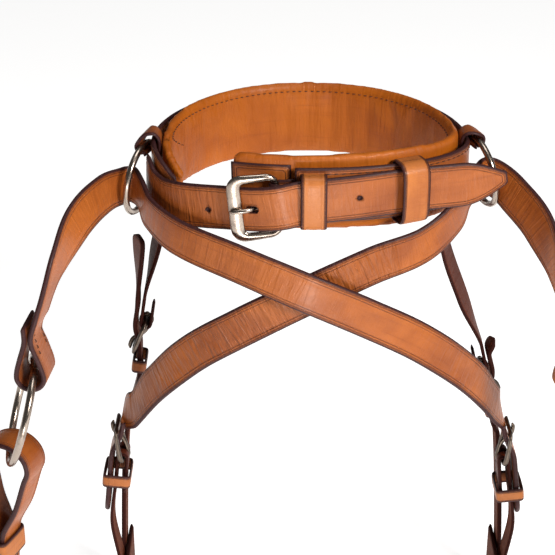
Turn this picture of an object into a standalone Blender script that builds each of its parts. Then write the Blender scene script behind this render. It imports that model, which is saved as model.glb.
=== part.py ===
"""Lower half of a cross-under bitless bridle: padded noseband with a chin buckle, two side
rings, two cross-under straps that run through them, rein rings, rein ends and crown straps.

The frame: the origin is the centre of the nose opening, at the middle height of the padding.
+X is the horse's side with the billet's tip, -Y is the chin side and +Z points to the muzzle.
All numbers below are millimetres, and the meshes are built in metres.
"""

import math

import bmesh
import bpy
from mathutils import Matrix, Vector

MM = 0.001
GAP = 0.4  # clearance between pieces that touch on the real bridle

# Noseband: an oval loop, fuller at the nose than at the chin
HALF_WIDTH = 86.0
CHIN_DEPTH = 50.0
NOSE_DEPTH = 82.0
BAND_HEIGHT = 31.0
BAND_THICK = 2.8
PAD_HEIGHT = 44.0
PAD_THICK = 6.2
PAD_SPACE = 3.2  # room between padding and band for the keepers' backs
BAND_CENTRE_Z = 1.0
CHIN_LIFT = 3.5

# Straps
BILLET_WIDTH = 25.4
CROSS_WIDTH = 22.0
CROSS_THICK = 3.0
CHEEK_WIDTH = 19.0
STRAP_THICK = 2.8
CHAPE_THICK = 2.0
REIN_WIDTH = 20.0
REIN_THICK = 3.2
KEEPER_THICK = 1.6
TAB_WIDTH = 13.0

# Metal
SIDE_RING_R = 20.4  # to the wire's centre
SIDE_WIRE_R = 1.9
REIN_RING_R = 29.7
REIN_WIRE_R = 2.1
BUCKLE_WIRE_R = 1.8
SMALL_WIRE_R = 1.5
TONGUE_R = 1.3


def start_scene():
    for obj in list(bpy.data.objects):
        bpy.data.objects.remove(obj, do_unlink=True)


def material(name, colour, roughness, metallic=0.0):
    made = bpy.data.materials.new(name)
    made.use_nodes = True
    shader = made.node_tree.nodes["Principled BSDF"]
    shader.inputs["Base Color"].default_value = (*colour, 1.0)
    shader.inputs["Roughness"].default_value = roughness
    shader.inputs["Metallic"].default_value = metallic
    return made


def vec(*xyz):
    return Vector(xyz)


def add_object(name, mesh, look, origin=(0, 0, 0)):
    """Places a mesh whose points are millimetres about its origin."""
    obj = bpy.data.objects.new(name, mesh)
    obj.location = Vector(origin) * MM
    obj.data.materials.append(look)
    bpy.context.scene.collection.objects.link(obj)
    return obj


# ---------------------------------------------------------------- routes


def smooth(keys, step):
    """Points about every step mm on a curve through the keys, which are (place, face) pairs."""
    places = [Vector(place) for place, _ in keys]
    faces = [Vector(face).normalized() for _, face in keys]
    ends = len(keys) - 1
    made = []
    for i in range(ends):
        p0, p1, p2, p3 = (places[min(max(i + k, 0), ends)] for k in (-1, 0, 1, 2))
        span = (p2 - p1).length
        slope1 = (p2 - p0) * span / max((p2 - p1).length + (p1 - p0).length, 1e-6)
        slope2 = (p3 - p1) * span / max((p3 - p2).length + (p2 - p1).length, 1e-6)
        count = max(1, round(span / step))
        for k in range(count + (i == ends - 1)):
            t = k / count
            place = (
                p1 * (2 * t**3 - 3 * t**2 + 1)
                + slope1 * (t**3 - 2 * t**2 + t)
                + p2 * (3 * t**2 - 2 * t**3)
                + slope2 * (t**3 - t**2)
            )
            made.append((place, faces[i].lerp(faces[i + 1], t).normalized()))
    return made


def framed(route):
    """Each point of a route with its tangent, its face's normal and its width direction."""
    made = []
    for i, (place, face) in enumerate(route):
        before = route[max(i - 1, 0)][0]
        after = route[min(i + 1, len(route) - 1)][0]
        tangent = (after - before).normalized()
        face = (face - tangent * face.dot(tangent)).normalized()
        made.append((place, tangent, face, tangent.cross(face)))
    return made


def end_factor(distance, length, kind):
    """How wide a strap is near its end, as a share of its full width."""
    if kind == "square" or distance >= length:
        return 1.0
    share = max(distance / length, 0.0)
    if kind == "corner":
        return 1.0 - 0.12 * max(0.0, 1.0 - distance / 3.0) ** 2
    if kind == "taper":
        return 0.42 + 0.58 * math.sin(share * math.pi / 2)
    if kind == "point":
        return 0.34 + 0.66 * math.sin(share * math.pi / 2)
    return max(math.sqrt(1 - (1 - share) ** 2), 0.35)


SQUARE = ((-0.5, -0.5), (0.5, -0.5), (0.5, 0.5), (-0.5, 0.5))
ROUNDED = (
    (-0.5, -0.2), (-0.38, -0.5), (0.38, -0.5), (0.5, -0.2),
    (0.5, 0.2), (0.38, 0.5), (-0.38, 0.5), (-0.5, 0.2),
)


def ribbon(route, width, thick, ends=("square", "square"), tip=12.0, section=SQUARE):
    """A flat strap swept along a route, as a bmesh in mm."""
    rows = framed(route)
    total = sum((rows[i + 1][0] - rows[i][0]).length for i in range(len(rows) - 1))
    bm = bmesh.new()
    rings = []
    run = 0.0
    for i, (place, _, face, side) in enumerate(rows):
        if i:
            run += (place - rows[i - 1][0]).length
        share = end_factor(run, tip, ends[0]) * end_factor(total - run, tip, ends[1])
        rings.append(
            [
                bm.verts.new(place + side * u * width * share + face * v * thick)
                for u, v in section
            ]
        )
    sides = len(section)
    for ring, following in zip(rings, rings[1:]):
        for k in range(sides):
            n = (k + 1) % sides
            bm.faces.new((ring[k], ring[n], following[n], following[k]))
    bm.faces.new(reversed(rings[0]))
    bm.faces.new(rings[-1])
    bmesh.ops.recalc_face_normals(bm, faces=bm.faces)
    return bm


def mesh_of(name, bm, origin=(0, 0, 0)):
    bmesh.ops.translate(bm, verts=bm.verts, vec=-Vector(origin))
    bmesh.ops.scale(bm, verts=bm.verts, vec=(MM, MM, MM))
    mesh = bpy.data.meshes.new(name)
    bm.to_mesh(mesh)
    bm.free()
    mesh.shade_smooth()
    mesh.set_sharp_from_angle(angle=math.radians(40))
    return mesh


def strap(name, keys, width, thick, look, step=7.0, **shape):
    return add_object(name, mesh_of(name, ribbon(smooth(keys, step), width, thick, **shape)), look)


def slotted_strap(name, route, width, thick, look, slot_width, first, last):
    """A strap with a slot down its middle between two of its route's points."""
    rows = framed(route)
    bm = bmesh.new()
    tops, lows = [], []
    for place, _, face, side in rows:
        across = (-width / 2, -slot_width / 2, slot_width / 2, width / 2)
        tops.append([bm.verts.new(place + side * u + face * thick / 2) for u in across])
        lows.append([bm.verts.new(place + side * u - face * thick / 2) for u in across])
    for i in range(len(rows) - 1):
        inside = first <= i < last
        for k in range(3):
            if k == 1 and inside:
                continue
            for level in (tops, lows):
                bm.faces.new((level[i][k], level[i][k + 1], level[i + 1][k + 1], level[i + 1][k]))
        for k in (0, 1, 2, 3) if inside else (0, 3):
            bm.faces.new((tops[i][k], tops[i + 1][k], lows[i + 1][k], lows[i][k]))
    for i in (first, last):
        bm.faces.new((tops[i][1], tops[i][2], lows[i][2], lows[i][1]))
    for i in (0, len(rows) - 1):
        for k in range(3):
            bm.faces.new((tops[i][k], tops[i][k + 1], lows[i][k + 1], lows[i][k]))
    bmesh.ops.recalc_face_normals(bm, faces=bm.faces)
    return add_object(name, mesh_of(name, bm), look)


def tube(name, points, radius, look, closed=False, origin=(0, 0, 0), sides=2):
    """A round wire along a list of points."""
    curve = bpy.data.curves.new(name, "CURVE")
    curve.dimensions = "3D"
    spline = curve.splines.new("POLY")
    spline.points.add(len(points) - 1)
    for point, place in zip(spline.points, points):
        point.co = (*((Vector(place) - Vector(origin)) * MM), 1.0)
    spline.use_cyclic_u = closed
    curve.bevel_depth = radius * MM
    curve.bevel_resolution = sides
    curve.use_fill_caps = not closed
    return add_object(name, curve, look, origin)


def cut(obj, name, centre, axes, size):
    """Cuts a box out of an object. axes are the box's three directions."""
    bm = bmesh.new()
    bmesh.ops.create_cube(bm, size=1.0)
    bmesh.ops.scale(bm, verts=bm.verts, vec=size)
    turn = Matrix([Vector(axis).normalized() for axis in axes]).transposed().to_4x4()
    bmesh.ops.transform(bm, matrix=Matrix.Translation(Vector(centre)) @ turn, verts=bm.verts)
    bmesh.ops.recalc_face_normals(bm, faces=bm.faces)
    cutter = add_object(name, mesh_of(name, bm), obj.data.materials[0])
    cutter.hide_render = True
    cutter.display_type = "WIRE"
    modifier = obj.modifiers.new(name, "BOOLEAN")
    modifier.operation = "DIFFERENCE"
    modifier.solver = "EXACT"
    modifier.object = cutter


# ---------------------------------------------------------------- noseband


def loop_place(degrees, outward=0.0, z=0.0):
    """A point at an angle on the noseband's oval: 0 is +X, 90 the nose, 180 -X, 270 the chin."""
    turn = math.radians(degrees)
    depth = NOSE_DEPTH if math.sin(turn) > 0 else CHIN_DEPTH
    normal = loop_normal(degrees)
    return vec(HALF_WIDTH * math.cos(turn), depth * math.sin(turn), z) + normal * outward


def loop_normal(degrees):
    turn = math.radians(degrees)
    depth = NOSE_DEPTH if math.sin(turn) > 0 else CHIN_DEPTH
    return vec(math.cos(turn) / HALF_WIDTH, math.sin(turn) / depth, 0.0).normalized()


def band_z(degrees):
    return BAND_CENTRE_Z + CHIN_LIFT * max(0.0, -math.sin(math.radians(degrees)))


def loop_keys(start, end, outward, step=9.0):
    count = max(2, round(abs(end - start) / step))
    angles = [start + (end - start) * k / count for k in range(count + 1)]
    return [(loop_place(a, outward, band_z(a)), loop_normal(a)) for a in angles]


BAND_START = 264.0  # at the chin buckle's chape
BAND_END = 200.0  # on the other cheek, under the billet's start
PAD_START = 239.0
PAD_END = 209.0


def pad_drop(place):
    """How far the padding sinks towards its end on the billet's side, to stay below the billet's top edge."""
    turn = math.degrees(math.atan2(place.y / CHIN_DEPTH, -place.x / HALF_WIDTH))
    if place.x > 0 or place.y > 0:
        return 0.0
    return 8.0 * min(1.0, max(0.0, -turn / 29.0)) ** 1.5 if turn > -40 else 0.0


def noseband(looks):
    keys = loop_keys(BAND_START - 360.0, BAND_END, BAND_THICK / 2)
    strap("noseband_leather", keys, BAND_HEIGHT, BAND_THICK, looks["russet"], ends=("square", "round"), tip=14.0)
    keys = loop_keys(PAD_START - 360.0, PAD_END, -PAD_SPACE - PAD_THICK / 2)
    keys = [(place - vec(0, 0, pad_drop(place)), face) for place, face in keys]
    strap(
        "noseband_padding", keys, PAD_HEIGHT, PAD_THICK, looks["lining"],
        ends=("corner", "taper"), tip=30.0, section=ROUNDED,
    )


# The billet's route: angle on the oval, height off the band's inner face, height along Z
BILLET_ROUTE = (
    (184.0, 4.9, -1.5), (190.0, 4.9, -4.0), (196.0, 4.7, -7.5), (206.0, 4.7, -9.5), (217.0, 4.6, -8.5),
    (228.0, 4.0, -6.8), (239.0, 4.2, -5.0), (247.0, 6.2, -3.6), (254.5, 8.6, -1.6), (260.0, 9.0, 0.0),
    (267.5, 6.6, 2.2), (276.0, 4.9, 2.8), (288.0, 4.8, 4.0), (300.0, 4.8, 4.6),
)
BILLET_TIP = ((62.0, -43.5, 5.0), (84.0, -39.5, 5.2), (103.0, -37.0, 5.2))
BILLET_TIP_FACE = (0.12, -1.0, 0.0)


def billet_keys():
    keys = [(loop_place(a, out, z), loop_normal(a)) for a, out, z in BILLET_ROUTE]
    return keys + [(place, BILLET_TIP_FACE) for place in BILLET_TIP]


# ---------------------------------------------------------------- buckles


class Buckle:
    """Where a buckle sits: its hinge bar's middle, the bar's direction, the way to the rest bar, outward."""

    def __init__(self, name, hinge, across, along, width, length, wire, rest_lift, hole, corner=2.2):
        self.name = name
        self.hinge = Vector(hinge)
        self.along = Vector(along).normalized()
        self.across = Vector(across) - self.along * Vector(across).dot(self.along)
        self.across.normalize()
        self.out = self.across.cross(self.along).normalized()
        self.width = width
        self.length = length
        self.wire = wire
        self.rest_lift = rest_lift
        self.corner = corner
        self.hole = hole  # how far along and out the billet's middle is at its hole

    def at(self, u, v, w):
        return self.hinge + self.across * u + self.along * v + self.out * w

    def frame_points(self):
        """A rounded rectangle, bowed outward from the hinge bar to the rest bar."""
        half, corner, points = self.width / 2, self.corner, []
        centres = ((half - corner, corner, -90), (half - corner, self.length - corner, 0))
        centres += ((corner - half, self.length - corner, 90), (corner - half, corner, 180))
        for u, v, start in centres:
            for k in range(4):
                turn = math.radians(start + 30 * k)
                along = v + corner * math.sin(turn)
                points.append(self.at(u + corner * math.cos(turn), along, self.lift(along)))
        return points

    def lift(self, along):
        return self.rest_lift * (max(along, 0.0) / self.length) ** 0.8

    def tongue_points(self):
        """A curl round the hinge bar, then a shank up through the hole to the rest bar's outer side."""
        curl = self.wire + TONGUE_R + 0.4
        tip_w = self.rest_lift + self.wire + TONGUE_R + 0.4
        hole_v, hole_w = self.hole
        points = []
        for k in range(9):
            turn = math.radians(-60 - 250 + 250 * k / 8)
            points.append(self.at(0, curl * math.cos(turn), curl * math.sin(turn)))
        points.append(self.at(0, hole_v - 2.8, hole_w - 2.9))
        points.append(self.at(0, hole_v + 2.4, hole_w + 3.0))
        points.append(self.at(0, self.length - 0.5, tip_w))
        points.append(self.at(0, self.length + 2.0, tip_w - 0.3))
        return points

    def over(self, thick):
        """How far out a billet's middle lies where it passes over the hinge bar and the tongue's curl."""
        return self.wire + 0.4 + 2 * TONGUE_R + 0.5 + thick / 2

    def under(self, thick):
        """The same under the rest bar."""
        return self.rest_lift - self.wire - 0.5 - thick / 2


def buckle(spec, looks):
    tube(spec.name + "_frame", spec.frame_points(), spec.wire, looks["nickel"], closed=True, sides=1)
    tube(
        spec.name + "_tongue", spec.tongue_points(), TONGUE_R, looks["nickel"],
        origin=spec.hinge, sides=1,
    )


def chape_keys(spec, reach_out, reach_in):
    """A fold of leather round the hinge bar: down the outer side, round the bar, back inside."""
    fold = spec.wire + GAP + CHAPE_THICK / 2
    keys = [(spec.at(0, -reach_out, fold), spec.out), (spec.at(0, -reach_out / 2, fold), spec.out)]
    for k in range(7):
        turn = math.radians(90 - 30 * k)
        v, w = fold * math.cos(turn), fold * math.sin(turn)
        keys.append((spec.at(0, v, w), spec.along * math.cos(turn) + spec.out * math.sin(turn)))
    keys.append((spec.at(0, -reach_in / 2, -fold), -spec.out))
    keys.append((spec.at(0, -reach_in, -fold), -spec.out))
    return keys


def slot_for_tongue(obj, spec):
    fold = spec.wire + GAP + CHAPE_THICK
    centre = spec.at(0, 1.0, 0.4)
    size = (2 * TONGUE_R + 1.6, 2 * fold + 4.0, 2 * fold + 3.0)
    cut(obj, obj.name + "_slot", centre, (spec.across, spec.along, spec.out), size)


def tongue_hole(obj, spec):
    """An oblong hole through a billet for its buckle's tongue."""
    size = (2 * TONGUE_R + 1.4, 7.8, 9.0)
    cut(obj, spec.name + "_hole", spec.at(0, *spec.hole), (spec.across, spec.along, spec.out), size)


def keeper(name, centre, across, along, out, inner, length, look, origin=None):
    """A flat leather loop: inner is the opening's width and depth, length its size along the strap."""
    across, along, out = (Vector(a).normalized() for a in (across, along, out))
    width, depth = inner
    bm = bmesh.new()
    outer = [(width / 2 + KEEPER_THICK, depth / 2 + KEEPER_THICK)]
    rings = []
    for a, b in ((width / 2, depth / 2), outer[0]):
        corner = 1.0 if a == width / 2 else 1.0 + KEEPER_THICK
        shape = []
        for u, w, start in ((1, 1, 0), (-1, 1, 90), (-1, -1, 180), (1, -1, 270)):
            for k in range(3):
                turn = math.radians(start + 45 * k)
                shape.append(
                    (u * (a - corner) + corner * math.cos(turn), w * (b - corner) + corner * math.sin(turn))
                )
        rings.append(shape)
    levels = []
    for v in (-length / 2, length / 2):
        levels.append(
            [[bm.verts.new(Vector(centre) + across * u + out * w + along * v) for u, w in ring] for ring in rings]
        )
    count = len(rings[0])
    for k in range(count):
        n = (k + 1) % count
        low_in, low_out, high_in, high_out = levels[0][0], levels[0][1], levels[1][0], levels[1][1]
        bm.faces.new((low_in[k], low_in[n], high_in[n], high_in[k]))
        bm.faces.new((low_out[n], low_out[k], high_out[k], high_out[n]))
        bm.faces.new((low_in[n], low_in[k], low_out[k], low_out[n]))
        bm.faces.new((high_in[k], high_in[n], high_out[n], high_out[k]))
    bmesh.ops.recalc_face_normals(bm, faces=bm.faces)
    place = origin if origin is not None else centre
    return add_object(name, mesh_of(name, bm, place), look, place)


# ---------------------------------------------------------------- rings


def ring(name, centre, down, near, radius, wire, look, origin):
    """A round wire ring in the plane of down and near."""
    centre, down, near = Vector(centre), Vector(down).normalized(), Vector(near).normalized()
    near = (near - down * near.dot(down)).normalized()
    count = 28
    points = []
    for k in range(count):
        turn = 2 * math.pi * k / count
        points.append(centre + (down * math.cos(turn) + near * math.sin(turn)) * radius)
    return tube(name, points, wire, look, closed=True, origin=origin, sides=1)


def side_ring_spec(side):
    """Centre, direction of the near half and the top of the wire, for side -1 or +1."""
    centre = vec(-95.5, 3.0, -8.5) if side < 0 else vec(96.0, 3.0, -4.0)
    near = vec(0.33 * side, -0.944, 0.0).normalized()
    return centre, near, centre + vec(0, 0, SIDE_RING_R)


def ring_tab_keys(side):
    """Sewn in between padding and band, it folds over the band's top edge and round the ring's top wire."""
    centre, near, top = side_ring_spec(side)
    ring_out = vec(-near.y * side, near.x * side, 0)
    band_out = vec(side, 0, 0)
    band_top = BAND_CENTRE_Z + BAND_HEIGHT / 2 - top.z
    face = HALF_WIDTH + BAND_THICK
    wire = abs(top.x) - face
    fold = SIDE_WIRE_R + 1.1 + CHAPE_THICK / 2
    inside = -BAND_THICK - PAD_SPACE / 2 - 0.25
    route = [
        (inside, -8.0, 0.0), (inside, band_top - 1.0, 0.0), (inside + 0.9, band_top + 3.6, 0.0),
        (0.5, band_top + 5.0, 0.3),
    ]
    for k in range(7):
        turn = math.radians(60 - 40 * k)
        route.append((wire + fold * math.cos(turn), fold * math.sin(turn) - 0.7, 1.0))
    keys = []
    for i, (o, z, turned) in enumerate(route):
        before = route[max(i - 1, 0)]
        after = route[min(i + 1, len(route) - 1)]
        run = vec(after[0] - before[0], after[1] - before[1], 0).normalized()
        out = band_out.lerp(ring_out, turned).normalized()
        place = vec(side * (face + o), top.y, 0).lerp(top + ring_out * (o - wire), turned)
        place.z = top.z + z
        keys.append((place, vec(0, 0, 1) * run.x - out * run.y))
    return keys


# ---------------------------------------------------------------- cross-under straps

REIN_LOOP = 7.6  # radius of the strap's end loop round the rein ring


def rein_ring_spec(side):
    top = vec(-149.5, -82.0, -82.0) if side < 0 else vec(142.5, -80.0, -92.0)
    down = vec(0.298 * side, 0.0, -0.955).normalized()
    near = vec(-0.13 * side, -0.99, 0.0)
    near = (near - down * near.dot(down)).normalized()
    return top, down, near


def loop_axes(side):
    """The end loops' width direction and the direction their outer layer faces."""
    width = vec(0.12 * side, -0.99, 0.0).normalized()
    outer = vec(-0.99 * side, -0.12, 0.0).normalized()
    return width, outer


def end_loop_keys(side):
    """From the strap's main layer, round the rein ring's top wire and back up, sewn to itself."""
    top, _, _ = rein_ring_spec(side)
    _, outer = loop_axes(side)
    lay = CROSS_THICK / 2 + 0.3
    centre = top + vec(0, 0, -2.4)
    up = vec(0, 0, 1)
    keys = [(centre + outer * lay + up * 22.0, outer), (centre + outer * (lay + 3.0) + up * 11.0, outer)]
    for k in range(7):
        turn = math.radians(20 - 220 * k / 6)
        way = outer * math.cos(turn) + up * math.sin(turn)
        keys.append((centre + way * REIN_LOOP, way))
    keys.append((centre - outer * (lay + 3.0) + up * 11.0, -outer))
    keys.append((centre - outer * lay + up * 21.0, -outer))
    keys.append((centre - outer * lay + up * 30.0, -outer))
    return keys


# Left and right are the viewer's, looking at the chin: left is -X.
OVER_ROUTE = (
    ((-143.5, -80.5, -50.0), (1.0, -0.12, 0.0)), ((-135.0, -70.0, -27.0), (0.98, -0.1, 0.15)),
    ((-125.5, -47.0, -12.5), (0.9, -0.3, 0.3)), ((-114.5, -22.0, -8.5), (0.75, -0.62, 0.2)),
    ((-105.5, -5.5, -10.5), (0.4, -0.9, 0.1)), ((-100.5, -0.5, -11.5), (-0.3, -1.0, 0.0)),
    ((-95.3, -8.4, -13.0), (-0.95, -0.35, 0.0)), ((-89.5, -24.0, -18.5), (-0.9, -0.5, 0.0)),
    ((-73.5, -42.0, -24.5), (-0.75, -0.7, 0.1)), ((-40.0, -61.0, -31.5), (-0.35, -1.0, 0.1)),
    ((-6.0, -70.5, -43.0), (0.0, -1.0, 0.1)), ((28.0, -68.0, -60.0), (0.25, -1.0, 0.1)),
    ((61.0, -57.0, -82.5), (0.55, -0.85, 0.1)), ((92.0, -38.0, -114.5), (0.8, -0.6, 0.1)),
    ((109.0, -24.0, -141.0), (0.93, -0.35, 0.1)),
)
UNDER_ROUTE = (
    ((138.0, -77.0, -56.0), (-1.0, -0.12, 0.0)), ((131.5, -62.0, -33.5), (-0.98, -0.1, 0.2)),
    ((123.5, -39.0, -18.5), (-0.85, -0.35, 0.4)), ((113.5, -18.5, -11.0), (-0.7, -0.65, 0.3)),
    ((106.0, -5.0, -7.5), (-0.4, -0.9, 0.1)), ((98.8, -0.5, -6.0), (0.3, -1.0, 0.0)),
    ((92.5, -9.0, -6.5), (0.95, -0.35, 0.0)), ((86.0, -20.5, -8.5), (0.87, -0.5, 0.0)),
    ((78.4, -33.8, -17.5), (0.75, -0.66, 0.0)), ((61.0, -47.0, -27.5), (0.6, -0.8, 0.05)),
    ((33.0, -58.5, -34.0), (0.3, -1.0, 0.1)),
    ((-6.0, -65.0, -51.0), (0.0, -1.0, 0.1)), ((-38.0, -61.0, -70.5), (-0.3, -1.0, 0.1)),
    ((-66.0, -49.5, -93.5), (-0.6, -0.8, 0.1)), ((-90.0, -33.0, -124.0), (-0.85, -0.5, 0.1)),
    ((-103.0, -22.0, -147.0), (-0.95, -0.3, 0.1)),
)


def cross_buckle_spec(side):
    """The buckle where a cross-under strap meets the crown strap: its rest bar is towards the muzzle."""
    hinge = vec(-111.5, -17.0, -181.0) if side < 0 else vec(117.5, -17.0, -183.0)
    along = vec(0.11 * -side, 0.12, 1.0)
    across = vec(0.0, side, 0.0)
    name = "cross_buckle_left" if side < 0 else "cross_buckle_right"
    return Buckle(name, hinge, across, along, 27.0, 19.0, SMALL_WIRE_R, 5.0, (12.0, 3.2))


def cross_end_keys(side):
    """A cross-under strap's billet: under the rest bar, over the hinge bar and down the crown strap."""
    spec = cross_buckle_spec(side)
    over, under = spec.over(CROSS_THICK), spec.under(CROSS_THICK)
    route = ((spec.length + 8.0, under - 0.8), (spec.length, under), (12.0, 3.2))
    route += ((5.0, over - 0.6), (0.0, over), (-12.0, over), (-38.0, over))
    return [(spec.at(0, v, w), spec.out) for v, w in route]


def cross_strap(name, side, route, looks):
    """From the end loop on one side to the crown buckle on the other."""
    keys = list(reversed(end_loop_keys(side))) + list(route) + cross_end_keys(-side)
    obj = strap(
        name, keys, CROSS_WIDTH, CROSS_THICK, looks["russet"], step=6.0,
        ends=("square", "point"), tip=10.0,
    )
    tongue_hole(obj, cross_buckle_spec(-side))
    return obj


# ---------------------------------------------------------------- cheeks and crown


def cheek_buckle_spec(side):
    """The buckle at the cheek strap's end: its rest bar is towards the crown."""
    hinge = vec(-97.0, 16.0, -107.0) if side < 0 else vec(105.5, 15.0, -138.0)
    along = vec(-0.16, -0.14, -1.0) if side < 0 else vec(0.25, -0.1, -1.0)
    across = vec(0.0, -side, 0.0)
    name = "cheek_buckle_left" if side < 0 else "cheek_buckle_right"
    return Buckle(name, hinge, across, along, 24.0, 18.0, SMALL_WIRE_R, 5.0, (11.0, 3.3))


def cheek_strap(side, looks):
    """Sewn to the noseband's side, it runs down to a chape round its buckle's hinge bar."""
    spec = cheek_buckle_spec(side)
    angle = 152.0 if side < 0 else 28.0
    out = loop_normal(angle)
    start = loop_place(angle, BAND_THICK + GAP + CHAPE_THICK / 2, 9.0)
    keys = [(start, out), (start + vec(0, 0, -12), out), (start + out * 0.6 + vec(0, 0, -27), out)]
    keys.append((vec(-89.0, 24.0, -56.0) if side < 0 else vec(80.0, 24.0, -56.0), vec(side, 0.2, 0)))
    if side > 0:
        keys.append((vec(92.0, 19.0, -92.0), vec(1, 0.1, 0.2)))
    keys += chape_keys(spec, 16.0, 10.0)
    name = "cheek_strap_left" if side < 0 else "cheek_strap_right"
    obj = strap(name, keys, CHEEK_WIDTH, CHAPE_THICK, looks["chocolate"], step=8.0)
    slot_for_tongue(obj, spec)


def foot_place(side):
    """The middle of the headpiece end's outer face."""
    return vec(-112.5, -16.0, -268.0) if side < 0 else vec(118.5, -16.0, -268.0)


def cheek_billet(side, looks):
    """The headpiece's rear tail: up through the cheek buckle, with its tip towards the muzzle."""
    spec = cheek_buckle_spec(side)
    side_name = "left" if side < 0 else "right"
    over, under = spec.over(STRAP_THICK), spec.under(STRAP_THICK)
    out = vec(side, 0, 0)
    foot = foot_place(side) + out * (GAP + STRAP_THICK / 2)
    tip_run = 52.0 if side < 0 else 15.0
    keys = [(foot + vec(0, 11.0, -15.0), out), (foot + vec(0, 11.0, 20.0), out)]
    keys.append((foot + vec(0, 28.5, 86.0) + out * -3.0, out))
    for v, w in ((34.0, -0.6), (spec.length + 5.0, under - 0.6), (spec.length, under), spec.hole):
        keys.append((spec.at(0, v, w), spec.out))
    keys += [(spec.at(0, v, w), spec.out) for v, w in ((4.5, over - 0.6), (0.0, over), (-9.0, over))]
    keys.append((spec.at(0, -tip_run, over + 5.0), spec.out))
    obj = strap(
        "cheek_billet_" + side_name, keys, CHEEK_WIDTH, STRAP_THICK, looks["chocolate"],
        ends=("square", "round"), tip=5.0,
    )
    tongue_hole(obj, spec)


def crown_strap(side, looks):
    """The headpiece's front tail: it ends in a chape round the cross-under buckle's hinge bar."""
    spec = cross_buckle_spec(side)
    side_name = "left" if side < 0 else "right"
    out = vec(side, 0, 0)
    foot = foot_place(side) + out * (2 * GAP + CHAPE_THICK / 2)
    fold = spec.wire + GAP + CHAPE_THICK / 2
    keys = [(foot + vec(0, -11.0, -15.0), out), (foot + vec(0, -11.0, 15.0), out)]
    keys.append((spec.at(0, -44.0, fold), spec.out))
    keys += chape_keys(spec, 18.0, 22.0)
    obj = strap("crown_strap_" + side_name, keys, CHEEK_WIDTH, CHAPE_THICK, looks["chocolate"], step=8.0)
    slot_for_tongue(obj, spec)


def headpiece_end(side, looks):
    """The wide layer that both tails are sewn to. It stops at a cut edge above the poll."""
    out = vec(side, 0, 0)
    place = foot_place(side) - out * STRAP_THICK / 2
    keys = [(place + vec(0, 0, -18.0), out), (place + vec(0, 0, 18.0), out)]
    name = "headpiece_end_left" if side < 0 else "headpiece_end_right"
    strap(name, keys, 44.0, STRAP_THICK, looks["chocolate"], step=36.0)


# ---------------------------------------------------------------- chin buckle and keepers


def chin_buckle_spec():
    hinge = loop_place(258.2, 1.9, -1.0)
    along = vec(-22.7, 5.0, -2.4)
    return Buckle(
        "chin_buckle", hinge, (-0.1, 0.0, 1.0), along, 33.4, 22.0, BUCKLE_WIRE_R, 7.2, (12.6, 4.9), 4.0
    )


def chin_closure(looks):
    spec = chin_buckle_spec()
    buckle(spec, looks)
    fold = spec.wire + GAP + CHAPE_THICK / 2
    back = spec.wire + 2 * TONGUE_R + 0.9
    keys = chape_keys(spec, 2 * back, 2 * back)[1:-1]
    keys.insert(0, (loop_place(263.1, 1.2 + fold, 0.0), loop_normal(263.1)))
    keys.append((loop_place(264.5, 1.6 - fold, 0.0), -loop_normal(264.5)))
    slot = 2 * TONGUE_R + 1.6
    slotted_strap(
        "chin_buckle_chape", keys, BILLET_WIDTH, CHAPE_THICK, looks["russet"], slot, 1, len(keys) - 2
    )
    billet = strap(
        "chin_billet", billet_keys(), BILLET_WIDTH, STRAP_THICK, looks["russet"], step=6.0,
        ends=("square", "point"), tip=26.0,
    )
    tongue_hole(billet, spec)
    up = vec(0, 0, 1)
    for name, angle, out, depth, length in (
        ("chin_keeper_fixed", 270.6, 4.1, 10.0, 14.0), ("chin_keeper_running", 306.5, 4.6, 10.8, 16.0),
    ):
        normal = loop_normal(angle)
        centre = loop_place(angle, out, band_z(angle))
        keeper(name, centre, up, up.cross(normal), normal, (BAND_HEIGHT + 1.4, depth), length, looks["keeper"])


def cheek_keepers(looks):
    """One keeper on each cheek billet below its buckle, one round each cross-under billet and crown strap."""
    for side, side_name, cheek_v, cross_v in ((-1, "left", 27.0, -4.5), (1, "right", 27.0, -12.0)):
        spec = cheek_buckle_spec(side)
        centre = spec.at(0, cheek_v, spec.under(STRAP_THICK) - 1.2)
        name = "cheek_keeper_" + side_name
        keeper(name, centre, spec.across, spec.along, spec.out, (CHEEK_WIDTH + 2.0, 5.6), 8.0, looks["keeper"])
        spec = cross_buckle_spec(side)
        fold = spec.wire + GAP + CHAPE_THICK / 2
        inner, outer = -fold - CHAPE_THICK / 2, spec.over(CROSS_THICK) + CROSS_THICK / 2
        centre = spec.at(0, cross_v - 9.0, (inner + outer) / 2)
        name = "cross_keeper_" + side_name
        size = (CROSS_WIDTH + 1.8, outer - inner + 1.8)
        keeper(name, centre, spec.across, spec.along, spec.out, size, 8.0, looks["keeper"])


# ---------------------------------------------------------------- rein ends


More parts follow.
